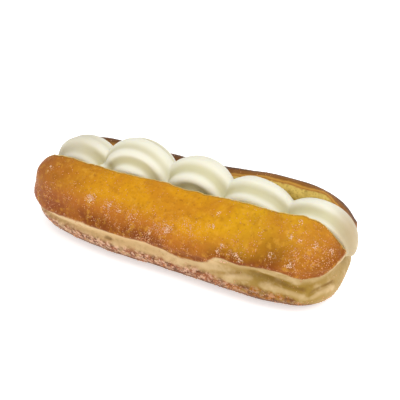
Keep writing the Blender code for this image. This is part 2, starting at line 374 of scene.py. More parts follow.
@dataclass(frozen=True)
class CrustFinish:
    """Fried skin: golden on top, brown towards its lower edge (partly its own colour, partly painted shade
    where the side curves under), with a pale belt and a reddish bottom.
    """

    gold: Colour = paint(212, 146, 8)
    yellow: Colour = paint(210, 164, 8)
    amber: Colour = paint(182, 108, 28)
    brown: Colour = paint(126, 62, 9)
    olive: Colour = paint(176, 114, 10)
    glow: Colour = paint(228, 168, 56)
    red: Colour = paint(146, 76, 36)
    # Dark brown used as painted shade on the far rim, in the valleys between the shells and along the near
    # lip.
    rim: Colour = paint(78, 44, 18)
    rim_brown: Colour = paint(132, 82, 26)
    rim_gold: Colour = paint(190, 138, 54)
    belt_left: Colour = paint(206, 172, 122)
    belt_right: Colour = paint(156, 124, 52)
    fold: Colour = paint(122, 86, 30)
    ridge: Colour = paint(230, 202, 158)
    bottom: Colour = paint(148, 88, 55)
    bottom_right: Colour = paint(155, 94, 12)
    bottom_dark: Colour = paint(100, 60, 32)
    dust: Colour = paint(232, 190, 160)
    fringe: Colour = paint(236, 206, 120)
    full_height: float = 26.0
    taller_right: Fade = Fade(30 * MM, 62 * MM, 9.0)
    brown_until: float = 0.19
    amber_at: float = 0.42
    gold_from: float = 0.66
    yellow_right: Fade = Fade(10 * MM, 50 * MM, 0.5)
    yellow_up: Fade = Fade(2.0, 9.0)
    amber_tip: Fade = Fade(58 * MM, 78 * MM, 0.65)
    brown_right: Fade = Fade(44 * MM, 56 * MM, 0.6)
    brown_down: Fade = Fade(18.0, 8.0)
    red_left: Fade = Fade(-30 * MM, -80 * MM, 0.85)
    amber_patches: Patches = Patches(15 * MM, 0.46, 0.64, 0.45)
    brown_patches: Patches = Patches(7 * MM, 0.52, 0.66, 0.2)
    olive_patches: Patches = Patches(5 * MM, 0.48, 0.7, 0.35)
    glow_patches: Patches = Patches(2.8 * MM, 0.52, 0.7, 0.35)
    brown_specks: Patches = Patches(1.6 * MM, 0.54, 0.74, 0.4)
    belt_turn: Fade = Fade(0.0, 60 * MM)
    # Painted light lifts the belt on the right nose towards the pale ridge colour.
    nose_painted_light: Fade = Fade(74 * MM, 84 * MM, 0.25)
    light_patches: Patches = Patches(7 * MM, 0.48, 0.72, 0.4)
    dark_patches: Patches = Patches(3 * MM, 0.5, 0.72, 0.4)
    upper_light: Fade = Fade(-4.0, -0.5, 0.35)
    fold_shade: Fade = Fade(0.1, 0.9, 0.8)
    fold_light: Fade = Fade(-0.05, -1.0, 0.35)
    bottom_turn: Fade = Fade(20 * MM, 55 * MM)
    bottom_patches: Patches = Patches(3.4 * MM, 0.44, 0.58, 0.8)
    belt_patches: Patches = Patches(4.6 * MM, 0.5, 0.6, 0.5)
    dust_patches: Patches = Patches(1.8 * MM, 0.48, 0.6, 0.7)
    less_dust: Fade = Fade(10 * MM, 50 * MM, 0.6)
    foot_shade: Fade = Fade(9 * MM, 5.5 * MM, 0.85)
    bottom_edge: Fade = Fade(15.0 * MM, 11.8 * MM)
    bottom_lower: Fade = Fade(62 * MM, 80 * MM, 9 * MM)
    bottom_cloud: Cloud = Cloud(7 * MM, 4.0, 0.6)
    bottom_fray: float = 7 * MM
    edge_cloud: Cloud = Cloud(1.6 * MM)
    edge_fray: float = 1.4
    crust_start: Fade = Fade(-0.6, 1.0)
    rim_width: float = 12.0
    rim_share: float = 0.95
    rim_cloud: Cloud = Cloud(10 * MM)
    rim_drift: float = 6.0
    rim_end: Fade = Fade(15.5, 6.5)
    rim_on_crust: Fade = Fade(0.0, 3.0)
    rim_along: Fade = Fade(-86 * MM, -60 * MM)
    far_side: Fade = Fade(2 * MM, 6 * MM)
    near_side: Fade = Fade(0.0, -4 * MM)
    valley_shade: Fade = Fade(30 * MM, 5 * MM, 0.6)
    lip_shade_line: Fade = Fade(1.3, 0.3, 0.6)
    lip_fringe: Fade = Fade(0.7, 0.2, 0.8)
    speck_size: float = 0.9 * MM
    speck_edge: Fade = Fade(0.36, 0.2)
    powder_patches: Patches = Patches(8 * MM, 0.48, 0.66, 0.16)
    roughness: float = 0.55
    specular: float = 0.13
    fine_relief: Cloud = Cloud(1.1 * MM, 4.0, 0.65)
    fine_depth: float = 0.25 * MM
    broad_relief: Cloud = Cloud(4.5 * MM, 3.0, 0.55)
    broad_depth: float = 0.5 * MM

    def top(self, board: NodeBoard, level: bpy.types.NodeSocket) -> bpy.types.NodeSocket:
        """Colour of the top crust: brown at its edge, partly its own colour and partly painted shade where
        the side curves under; gold higher up, with darker and lighter patches.
        """
        along = board.axis("X")
        height = board.calc("ADD", board.fade(along, self.taller_right), self.full_height)
        # From brown at the crust's lower edge to gold higher up: partly the crust's colour, partly painted
        # shade where the side curves under.
        tone = board.ramp(
            board.calc("DIVIDE", level, height),
            (0.0, self.brown),
            (self.brown_until, self.brown),
            (self.amber_at, self.amber),
            (self.gold_from, self.gold),
            (1.0, self.gold),
        )
        yellow = board.times(board.fade(along, self.yellow_right), board.fade(level, self.yellow_up))
        # More brown low down on the right, partly painted shade as in the ramp above.
        low = board.times(board.fade(along, self.brown_right), board.fade(level, self.brown_down))
        return board.tint(
            tone,
            (yellow, self.yellow),
            (board.fade(along, self.amber_tip), self.amber),
            (low, self.brown),
            (board.fade(along, self.red_left), self.red),
            (board.mottle(self.amber_patches), self.amber),
            (board.mottle(self.brown_patches), self.brown),
            (board.mottle(self.olive_patches), self.olive),
            (board.mottle(self.glow_patches), self.glow),
            (board.mottle(self.brown_specks), self.brown),
        )

    def belt(self, board: NodeBoard, edge: bpy.types.NodeSocket) -> bpy.types.NodeSocket:
        """Colour of the pale belt with its folds, and of the reddish bottom under it."""
        height = board.axis("Z")
        along = board.axis("X")
        crease = board.reading(Attribute.CREASE)
        tone = board.tint(
            self.belt_left,
            (board.fade(along, self.belt_turn), self.belt_right),
            # Painted light on the belt's right nose.
            (board.fade(along, self.nose_painted_light), self.ridge),
            (board.mottle(self.light_patches), self.ridge),
            (board.mottle(self.dark_patches), self.belt_right),
            (board.fade(edge, self.upper_light), self.ridge),
            # Painted shade in the sunken creases and painted light on the raised folds.
            (board.fade(crease, self.fold_shade), self.fold),
            (board.fade(crease, self.fold_light), self.ridge),
        )
        dusty = board.calc("SUBTRACT", 1.0, board.fade(along, self.less_dust))
        base = board.tint(
            self.bottom,
            (board.fade(along, self.bottom_turn), self.bottom_right),
            (board.mottle(self.bottom_patches), self.bottom_dark),
            (board.mottle(self.belt_patches), tone),
            (board.times(board.mottle(self.dust_patches), dusty), self.dust),
            (board.fade(height, self.foot_shade), self.bottom_dark),
        )
        low = board.calc("ADD", height, board.swing(self.bottom_cloud, self.bottom_fray))
        low = board.calc("ADD", low, board.fade(along, self.bottom_lower))
        return board.mix(board.fade(low, self.bottom_edge), tone, base)

    def material(self) -> bpy.types.Material:
        """The crust's material, which reads the values stored at the skin's vertices."""
        board = NodeBoard("crust")
        along = board.axis("X")
        across = board.axis("Y")
        edge = board.reading(Attribute.EDGE)
        way = board.reading(Attribute.LIP)
        fray = board.swing(self.edge_cloud, self.edge_fray)
        frayed = board.calc("ADD", edge, fray)
        lip = board.calc("ADD", way, fray)
        # The far flap's crust beside the cut: gold at the cut, then brown, then a dark band of painted shade
        # where the crust is seen edge-on, then brown.
        rim = board.ramp(
            board.calc("DIVIDE", lip, self.rim_width),
            (0.0, self.rim_gold),
            (0.06, self.rim_gold),
            (0.16, self.rim_brown),
            (0.34, self.rim_brown),
            (0.52, self.rim),
            (0.68, self.rim),
            (1.0, self.brown),
        )
        drifted = board.calc("ADD", lip, board.swing(self.rim_cloud, self.rim_drift))
        far = board.times(
            board.fade(drifted, self.rim_end),
            board.fade(frayed, self.rim_on_crust),
            board.fade(along, self.rim_along),
            board.fade(across, self.far_side),
        )
        near = board.fade(across, self.near_side)
        speck = board.fade(board.cells(self.speck_size), self.speck_edge)
        powder = board.calc("ADD", board.reading(Attribute.DUST), board.mottle(self.powder_patches))
        skin = board.tint(
            self.belt(board, edge),
            (board.fade(frayed, self.crust_start), self.top(board, frayed)),
            (board.times(far, self.rim_share), rim),
            # Painted shade darkens the far rim further towards the left, in the valleys between the cream
            # shells.
            (board.times(far, board.fade(along, self.valley_shade)), self.rim),
            # A thin dark line of painted shade along the near lip.
            (board.times(board.fade(lip, self.lip_shade_line), near), self.rim),
            (board.times(board.fade(way, self.lip_fringe), near), self.fringe),
            (board.times(speck, powder), self.dust),
        )
        fine = board.bump(board.cloud(self.fine_relief), self.fine_depth)
        relief = board.bump(board.cloud(self.broad_relief), self.broad_depth, fine)
        board.set(base_color=skin, roughness=self.roughness, specular_ior_level=self.specular, normal=relief)
        return board.material


@dataclass(frozen=True)
class CrumbFinish:
    """Cut face: a thin brown line of crust over a yellow, airy crumb."""

    crust: Colour = paint(176, 118, 44)
    light: Colour = paint(214, 184, 92)
    shade: Colour = paint(166, 138, 58)
    roughness: float = 0.8
    depth_cloud: Cloud = Cloud(1.5 * MM)
    depth_fray: float = 0.9
    crust_depth: Fade = Fade(0.7, 1.5)
    deep_shade: Fade = Fade(2.0, 6.0, 0.5)
    shade_patches: Patches = Patches(3 * MM, 0.48, 0.64, 0.4)
    pore_size: float = 1.4 * MM
    pore_edge: Fade = Fade(0.0, 0.5)
    pore_shade: float = 0.5
    pore_depth: float = 0.2 * MM

    def material(self) -> bpy.types.Material:
        """The cut face's material, which reads how deep below the skin it lies."""
        board = NodeBoard("crumb")
        fray = board.times(board.cloud(self.depth_cloud), self.depth_fray)
        depth = board.calc("ADD", board.reading(Attribute.SKIN), fray)
        solid = board.fade(board.cells(self.pore_size), self.pore_edge)
        pores = board.times(board.calc("SUBTRACT", 1.0, solid), self.pore_shade)
        shade = board.calc("ADD", board.fade(depth, self.deep_shade), pores)
        shade = board.calc("ADD", shade, board.mottle(self.shade_patches))
        crumb = board.mix(shade, self.light, self.shade)
        tone = board.mix(board.fade(depth, self.crust_depth), self.crust, crumb)
        board.set(base_color=tone, roughness=self.roughness, normal=board.bump(solid, self.pore_depth))
        return board.material


@dataclass(frozen=True)
class CreamFinish:
    """Whipped cream: pale ivory, with painted shade that is darker and yellower down in the grooves of the
    nozzle, darker still in the grooves on the left, and greyer on the left flank.
    """

    ridge: Colour = paint(233, 230, 212)
    # Painted shade in the grooves, and a darker painted shade for the grooves on the left.
    groove: Colour = paint(210, 204, 166)
    deep: Colour = paint(186, 174, 130)
    shade: Colour = paint(206, 198, 176)
    tail: Colour = paint(182, 162, 126)
    roughness: float = 0.5
    specular: float = 0.25
    glow: float = 0.45
    glow_reach: float = 3.0 * MM
    glow_colour: tuple[float, float, float] = (1.0, 0.85, 0.5)
    groove_edge: Fade = Fade(0.0, 1.0)
    groove_shade_left: Fade = Fade(-8 * MM, -18 * MM, 0.55)
    shade_left: Fade = Fade(-44 * MM, -62 * MM, 0.65)
    tail_right: Fade = Fade(71 * MM, 85 * MM, 0.9)
    relief: Cloud = Cloud(3 * MM, 3.0)
    relief_depth: float = 0.12 * MM

    def material(self) -> bpy.types.Material:
        """The cream's material, which reads how deep in a groove it lies and paints shade there."""
        board = NodeBoard("cream")
        along = board.axis("X")
        groove = board.fade(board.reading(Attribute.GROOVE), self.groove_edge)
        # Painted shade: the groove colours darken the grooves, and the shade colour darkens the left flank.
        tone = board.tint(
            self.ridge,
            (groove, self.groove),
            (board.times(groove, board.fade(along, self.groove_shade_left)), self.deep),
            (board.fade(along, self.shade_left), self.shade),
            (board.fade(along, self.tail_right), self.tail),
        )
        board.set(
            base_color=tone,
            roughness=self.roughness,
            subsurface_weight=self.glow,
            subsurface_scale=self.glow_reach,
            subsurface_radius=self.glow_colour,
            specular_ior_level=self.specular,
            normal=board.bump(board.cloud(self.relief), self.relief_depth),
        )
        return board.material


@dataclass(frozen=True)
class SugarFinish:
    """Sugar crystals: white where they lie thick, with the crust's warmth where they lie alone."""

    colour: Colour = paint(248, 214, 186)
    warm: Colour = paint(208, 140, 82)
    roughness: float = 0.3

    def material(self) -> bpy.types.Material:
        """The crystals' material, which reads how white each one is."""
        board = NodeBoard("sugar")
        tone = board.mix(board.reading(Attribute.DUST), self.warm, self.colour)
        board.set(base_color=tone, roughness=self.roughness, specular_ior_level=0.3)
        board.set(subsurface_weight=0.2, subsurface_scale=0.5 * MM)
        return board.material


@dataclass(frozen=True)
class FloorFinish:
    """Plain pale floor."""

    colour: Colour = paint(253, 253, 253)
    glow: float = 0.5

    def material(self) -> bpy.types.Material:
        """The floor's material, which glows a little, as a floor lit from below does."""
        board = NodeBoard("floor")
        board.set(base_color=self.colour, roughness=0.9, specular_ior_level=0.1)
        board.set(emission_color=(1.0, 1.0, 1.0, 1.0), emission_strength=self.glow)
        return board.material


@dataclass(frozen=True)
class PhotoCamera:
    """Camera where the photograph's was."""

    lens: float = 63.0
    sensor: float = 36.0
    place: Vector = Vector((136.1, -264.9, 222.5)) * MM
    target: Vector = Vector((2.8, 8.5, 25.0)) * MM
    near: float = 0.01
    far: float = 80.0

    def build(self) -> None:
        """Makes the camera and gives it to the scene."""
        data = bpy.data.cameras.new("camera")
        data.lens = self.lens
        data.sensor_width = self.sensor
        data.clip_start = self.near
        data.clip_end = self.far
        camera = bpy.data.objects.new("camera", data)
        camera.location = self.place
        camera.rotation_euler = self.turn().to_euler()
        bpy.context.scene.collection.objects.link(camera)
        bpy.context.scene.camera = camera

    def turn(self) -> Quaternion:
        """The turn that aims the camera at its target."""
        return (self.target - self.place).to_track_quat("-Z", "Y")

    def ray(self, pixel: Pixel) -> Vector:
        """Direction from the camera through a pixel of the photograph."""
        half = PHOTO_PIXELS / 2
        scale = self.sensor / self.lens / PHOTO_PIXELS
        aim = Vector(((pixel[0] - half) * scale, (half - pixel[1]) * scale, -1.0))
        return (self.turn() @ aim).normalized()

    def cast(self, tree: BVHTree, pixel: Pixel) -> Vector:
        """Point of a surface that a pixel of the photograph shows.

        Args:
            tree: The surface.
            pixel: Where to look, as x and y in the photograph.

        Returns:
            The first point hit, or the nearest to the line of sight where it misses.
        """
        way = self.ray(pixel)
        hit = tree.ray_cast(self.place, way)[0]
        if hit is not None:
            return hit
        beside = self.place + way * (self.target - self.place).length
        return tree.find_nearest(beside)[0]


@dataclass(frozen=True)
class Crease:
    """A fold in the bun's skin, drawn through pixels of the photograph."""

    pixels: tuple[Pixel, ...]
    depth: float
    width: float

    def distance(self, point: Vector, knots: list[Vector]) -> float:
        """Distance from a point to the line through the crease's places."""
        best = 1.0
        for start, end in zip(knots, knots[1:]):
            span = end - start
            share = max(0.0, min(1.0, (point - start).dot(span) / span.length_squared))
            best = min(best, (point - start - span * share).length)
        return best


@dataclass(frozen=True)
class Wave:
    """A place where the near flap's crust hangs lower, or ends higher, than its even lower edge."""

    place: float
    rise: float
    width: float

    def at(self, x: float) -> float:
        """How much higher the crust ends at x."""
        return self.rise * hump(x - self.place, self.width)


@dataclass(frozen=True)
class Loaf:
    """Outside of the bun before it is split."""

    left_reach: float = 87.8 * MM
    right_reach: float = 84.6 * MM
    width: float = 65.8 * MM
    width_gain: float = 3.4 * MM
    left_power: float = 3.3
    near_right_power: float = 3.8
    far_right_power: float = 3.4
    top_power_gain: float = 1.3
    far_drop: float = 0.9 * MM
    base_inset: float = 19 * MM
    base_edge: tuple[float, float] = (15 * MM, 0.5 * MM)
    lower_corner: tuple[float, float] = (6.0 * MM, 4.4 * MM)
    bottom_bulge: tuple[float, float] = (2.0 * MM, 12 * MM)
    belt_waist: tuple[float, float] = (3.2 * MM, 17.2 * MM)
    crust_edge: tuple[float, float] = (1.2 * MM, 21.5 * MM)
    widest: tuple[float, float] = (0.0, 25.5 * MM)
    upper_side: tuple[float, float] = (4.8 * MM, 35.5 * MM)
    shoulder: tuple[float, float] = (12.8 * MM, 42.5 * MM)
    crest: tuple[float, float] = (18 * MM, 44.9 * MM)
    top_middle: float = 44.6 * MM
    top_middle_reach: float = 8 * MM
    left_drop: Fade = Fade(0.0, 70 * MM, 4.5 * MM)
    right_rise: Fade = Fade(18 * MM, 58 * MM, 4.5 * MM)
    right_lift: Fade = Fade(18 * MM, 58 * MM, 1.4 * MM)
    right_bulge: Fade = Fade(18 * MM, 58 * MM, 1.7 * MM)
    waist_follows: float = 0.5
    edge_follows: float = 0.95
    widest_follows: float = 0.8
    near_side: Fade = Fade(-12 * MM, 8 * MM)
    far_side: Fade = Fade(0.0, 12 * MM)
    far_drop_middle: float = -5 * MM
    far_drop_ends: Fade = Fade(22 * MM, 48 * MM)
    near_waves: tuple[Wave, ...] = (
        Wave(-84 * MM, -5.0 * MM, 9 * MM),
        Wave(-50 * MM, 3.2 * MM, 20 * MM),
        Wave(15.3 * MM, -4.5 * MM, 20 * MM),
        Wave(70 * MM, -4.8 * MM, 7 * MM),
        Wave(78 * MM, -2.6 * MM, 4 * MM),
    )
    nose_wave: Wave = Wave(85 * MM, 4.6 * MM, 3.6 * MM)
    sides: int = 380
    rings: int = 176
    arc_samples: int = 4000
    merge: float = 0.004 * MM

    def half_width(self, x: float) -> float:
        """Half the bun's width at x."""
        return (self.width + self.width_gain * x / (self.left_reach + self.right_reach)) / 2

    def crust_shift(self, x: float) -> float:
        """How much higher than in the middle the edge of the top crust lies at x."""
        return self.right_rise.at(x) - self.left_drop.at(-x)

    def crust_end(self, x: float, y: float) -> float:
        """Height at which the top crust ends and the pale belt starts, at (x, y)."""
        waves = sum(wave.at(x) for wave in self.near_waves)
        even = self.crust_edge[1] + self.edge_follows * self.crust_shift(x)
        return even + self.near_side.at(-y) * waves + self.nose_wave.at(x)

    def far_sag(self, x: float, y: float) -> float:
        """How much lower than the near flap the far flap stands at (x, y)."""
        middle = 1 - self.far_drop_ends.at(abs(x - self.far_drop_middle))
        return self.far_drop * middle * self.far_side.at(y)

    def profile(self, share: float, x: float) -> tuple[float, float]:
        """Inset and height of the skin.

        Args:
            share: From 0 in the middle of the base, over the side, to 1 in the middle of the top.
            x: Place along the bun.

        Returns:
            The inset from the outline, and the height.
        """
        shift = self.crust_shift(x)
        lift = self.right_lift.at(x)
        bulge = self.right_bulge.at(x)
        middle = self.half_width(x)
        points = (
            (middle, 0.0),
            (self.base_inset, 0.0),
            (self.base_edge[0] - bulge, self.base_edge[1]),
            (self.lower_corner[0] - bulge, self.lower_corner[1]),
            (self.bottom_bulge[0] - bulge, self.bottom_bulge[1]),
            (self.belt_waist[0], self.belt_waist[1] + self.waist_follows * shift),
            (self.crust_edge[0], self.crust_edge[1] + self.edge_follows * shift),
            (self.widest[0], self.widest[1] + self.widest_follows * shift),
            (self.upper_side[0], self.upper_side[1] + lift / 2),
            (self.shoulder[0], self.shoulder[1] + lift),
            (self.crest[0], self.crest[1] + lift),
            (middle - self.top_middle_reach, self.top_middle + lift),
            (middle, self.top_middle + lift),
        )
        inset, height = through(points, share)
        return min(inset, middle), max(height, 0.0)

    def outline(self, angle: float, inset: float, height: float) -> tuple[float, float]:
        """Point of the outline at a height, in the direction of an angle, drawn in by inset."""
        cosine = math.cos(angle)
        sine = math.sin(angle)
        blunt = self.top_power_gain * ease(height, self.widest[1], self.crest[1])
        right_power = self.far_right_power if sine > 0 else self.near_right_power
        power = (right_power if cosine > 0 else self.left_power) + blunt
        reach = self.right_reach if cosine > 0 else self.left_reach
        size = (abs(cosine) ** power + abs(sine) ** power) ** (-1 / power)
        along = cosine * size
        return (reach - inset) * along, (self.half_width(reach * along) - inset) * sine * size

    def even_angles(self) -> list[float]:
        """Angles that share the outline's length out evenly, the same on its near side as on its far side."""
        samples = [math.pi * number / self.arc_samples for number in range(self.arc_samples + 1)]
        points = [Vector(self.outline(angle, 0.0, 0.0)) for angle in samples]
        lengths = [0.0]
        for start, end in zip(points, points[1:]):
            lengths.append(lengths[-1] + (end - start).length)
        half = self.sides // 2
        far = [0.0]
        index = 0
        for side in range(1, half):
            goal = lengths[-1] * side / half
            while lengths[index + 1] < goal:
                index += 1
            share = (goal - lengths[index]) / (lengths[index + 1] - lengths[index])
            far.append(samples[index] + share * (samples[index + 1] - samples[index]))
        return far + [math.pi] + [-angle for angle in reversed(far[1:])]

    def mesh(self) -> bmesh.types.BMesh:
        """The smooth loaf: a grid rolled round the outline, with one row for each height."""
        bm = make_tube(self.sides, self.rings)
        angles = self.even_angles()
        for vertex in bm.verts:
            share = vertex.co.y
            on_middle_line = min(share, 1 - share) < 0.5 / self.rings
            angle = angles[round(vertex.co.x * self.sides) % self.sides]
            if on_middle_line:
                angle = abs(angle)
            outer_x, _ = self.outline(angle, 0.0, 0.0)
            inset, height = self.profile(share, outer_x)
            x, y = self.outline(angle, inset, height)
            height -= self.far_sag(x, y) * ease(height, self.widest[1], self.crest[1])
            vertex.co = Vector((x, 0.0 if on_middle_line else y, height))
        bmesh.ops.remove_doubles(bm, verts=bm.verts, dist=self.merge)
        bmesh.ops.recalc_face_normals(bm, faces=bm.faces)
        bm.normal_update()
        return bm


@dataclass(frozen=True)
class Split:
    """Opening between the two flaps."""

    section: tuple[tuple[float, float], ...] = (
        (0.0, 17 * MM),
        (3.5 * MM, 17 * MM),
        (8.5 * MM, 23 * MM),
        (11 * MM, 33 * MM),
        (11.6 * MM, 42 * MM),
        (13.5 * MM, 46 * MM),
        (17 * MM, 56 * MM),
        (17 * MM, 70 * MM),
    )
    reach: float = 96 * MM
    left_floor_rise: float = 9 * MM
    right_floor_rise: float = 4 * MM
    floor_ends: Fade = Fade(58 * MM, 88 * MM)
    turn_in: Fade = Fade(45 * MM, 78 * MM, 2.2 * MM)
    far_shift: float = 3.1 * MM
    far_shift_height: float = 33 * MM
    wave: float = 0.5 * MM
    wave_length: float = 41 * MM
    ragged: float = 0.65 * MM
    ragged_size: float = 5 * MM
    pores: float = 0.55 * MM
    pore_size: float = 1.5 * MM
    large_pores: float = 0.6
    large_pore_size: float = 3.2 * MM

    def point(self, x: float, share: float, gap: float) -> Vector:
        """Point of the opening's wall.

        Args:
            x: Place along the bun.
            share: From 0 at the near top, round the floor, to 1 at the far top.
            gap: How far inside the wall the point lies.

        Returns:
            The point.
        """
        turn = 2 * math.pi * x / self.wave_length
        near = self.wave * (math.sin(turn) + 0.5 * math.sin(2.3 * turn + 1))
        near -= self.turn_in.at(abs(x))
        far = self.wave * (math.sin(turn + 2) + 0.5 * math.sin(2.7 * turn))
        rise = self.left_floor_rise if x < 0 else self.right_floor_rise
        lift = rise * self.floor_ends.at(abs(x))
        half, height = through(self.section, abs(2 * share - 1))
        floor = self.section[0][1]
        lip = self.section[4][1]
        far -= self.far_shift * min(1.0, (height - floor) / (self.far_shift_height - floor))
        height += lift * max(0.0, (lip - height) / (lip - floor)) + gap
        half = max(0.0, half - gap)
        spread = min(1.0, half / self.section[1][0])
        y = -half - near * spread if share < 0.5 else half + far * spread
        return Vector((x, y, height))

    def tool(self, name: str, stations: int, steps: int, gap: float, crumbly: bool) -> bpy.types.Object:
        """The opening's room as a closed shape that runs out past both ends.

        Args:
            name: The object's name.
            stations: How many steps it has along the bun.
            steps: How many steps it has round its section.
            gap: How far inside the walls it stays.
            crumbly: Whether its walls have the crumb's pores and the lips' ragged line.

        Returns:
            The object.
        """
        bm = make_tube(stations, steps)
        for vertex in bm.verts:
            share = vertex.co.y
            point = self.point(self.reach * (2 * vertex.co.x - 1), share, gap)
            if crumbly and 0.001 < share < 0.999:
                side = -1.0 if share < 0.5 else 1.0
                frayed = self.ragged * noise.fractal(point / self.ragged_size, 1.0, 2.0, 3)
                large = self.large_pores * noise.noise(point / self.large_pore_size)
                cell = noise.noise(point / self.pore_size) + large
                point.y += side * (frayed + self.pores * max(0.0, cell))
            vertex.co = point
        rims = [edge for edge in bm.edges if edge.is_boundary]
        bmesh.ops.holes_fill(bm, edges=rims)
        bmesh.ops.triangulate(bm, faces=[face for face in bm.faces if len(face.verts) > 4])
        return new_piece(name, bm)


@dataclass
class Bun:
    """The bun: a loaf with an uneven skin, split from the top."""

    loaf: Loaf
    split: Split
    camera: PhotoCamera
    lumps: float = 0.5 * MM
    dents: float = 0.22 * MM
    wrinkles: float = 0.07 * MM
    streaks: float = 0.3 * MM
    overhang: float = 0.45 * MM
    edge_fray: float = 0.9 * MM
    bump_pixel: Pixel = (218.0, 260.0)
    bump_reach: float = 6.5 * MM
    bump_drop: float = 6.5 * MM
    bump_rise: float = 0.8 * MM
    creases: tuple[Crease, ...] = (
        Crease(((212, 271), (226, 273), (239, 272)), 0.6 * MM, 0.8 * MM),
        Crease(((250, 273), (262, 276), (275, 280), (290, 287), (303, 290)), 0.9 * MM, 1.4 * MM),
        Crease(((308, 296), (314, 291), (322, 287), (334, 281)), 0.7 * MM, 0.9 * MM),
        Crease(((106, 237), (111, 239)), 0.9 * MM, 0.8 * MM),
        Crease(((185, 264), (190, 266)), 0.8 * MM, 0.8 * MM),
        Crease(((196, 271), (198, 272)), 0.6 * MM, 0.7 * MM),
        Crease(((202, 265), (215, 269), (232, 276), (250, 277)), -0.5 * MM, 1.8 * MM),
        Crease(((262, 271), (280, 276), (298, 284)), -0.4 * MM, 1.6 * MM),
        Crease(((262, 285), (276, 289), (290, 292), (305, 298)), -0.4 * MM, 1.8 * MM),
        Crease(((312, 297), (322, 291), (333, 287)), -0.4 * MM, 1.5 * MM),
    )
    crust_reach: float = 4 * MM
    lip_reach: float = 16 * MM
    stations: int = 240
    steps: int = 150

    def edge_level(self, point: Vector, bump: Vector) -> float:
        """Height of a point above the ragged lower edge of the top crust."""
        flat = Vector((point.x, point.y, 0.0))
        fray = self.edge_fray * (noise.noise(flat / (14 * MM)) + 0.5 * noise.noise(flat / (4.5 * MM)))
        edge = self.loaf.crust_end(point.x, point.y) + fray
        return point.z - edge - self.bump_drop * hump((point - bump).length, self.bump_reach)

    def relief(self, point: Vector, bump: Vector, knots: list[list[Vector]]) -> float:
        """How far the skin stands out of the smooth loaf at a point."""
        level = self.edge_level(point, bump)
        on_crust = ease(level, -1 * MM, 3 * MM)
        rise = self.lumps * noise.noise(point / (26 * MM))
        rise += self.dents * noise.noise(point / (8 * MM))
        rise += self.wrinkles * on_crust * noise.turbulence(point / (2.6 * MM), 2, False)
        rise += self.overhang * hump(level - 1.5 * MM, 1.6 * MM)
        banded = Vector((point.x / (13 * MM), point.y / (13 * MM), point.z / (2.4 * MM)))
        rise += self.streaks * (1 - on_crust) * noise.noise(banded)
        rise += self.bump_rise * hump((point - bump).length, 4 * MM)
        for crease, line in zip(self.creases, knots):
            rise -= crease.depth * hump(crease.distance(point, line), crease.width)
        return rise * ease(point.z, 0.5 * MM, 5 * MM)

    def fold(self, point: Vector, knots: list[list[Vector]]) -> float:
        """How deep in the creases a point lies: above 0 in sunken ones, below 0 on raised ones."""
        fold = 0.0
        for crease, line in zip(self.creases, knots):
            fold += math.copysign(hump(crease.distance(point, line), crease.width), crease.depth)
        return fold

    def build(self) -> bpy.types.Object:
        """Makes the bun's mesh, with what its finish reads stored at its vertices."""
        bm = self.loaf.mesh()
        smooth = BVHTree.FromBMesh(bm)
        bump = self.camera.cast(smooth, self.bump_pixel)
        knots = [[self.camera.cast(smooth, pixel) for pixel in crease.pixels] for crease in self.creases]
        normals = [vertex.normal.copy() for vertex in bm.verts]
        for vertex, normal in zip(bm.verts, normals):
            vertex.co += normal * self.relief(vertex.co, bump, knots)
        skin = BVHTree.FromBMesh(bm)
        piece = new_piece("bun_bread", bm)
        piece.data.materials.append(CrustFinish().material())
        piece.data.materials.append(CrumbFinish().material())
        cutter = self.split.tool("split_cutter", self.stations, self.steps, 0.0, True)
        cutter.data.materials.append(piece.data.materials[0])
        cutter.data.materials.append(piece.data.materials[1])
        cutter.data.polygons.foreach_set("material_index", [1] * len(cutter.data.polygons))
        combine(piece, "DIFFERENCE", cutter)
        points = [vertex.co.copy() for vertex in piece.data.vertices]
        store(piece, Attribute.EDGE, [self.edge_level(point, bump) / MM for point in points])
        cut = [tuple(face.vertices) for face in piece.data.polygons if face.material_index == 1]
        store(piece, Attribute.SKIN, distances(skin, points, self.crust_reach))
        store(piece, Attribute.LIP, distances(BVHTree.FromPolygons(points, cut), points, self.lip_reach))
        store(piece, Attribute.CREASE, [self.fold(point, knots) for point in points])
        return piece


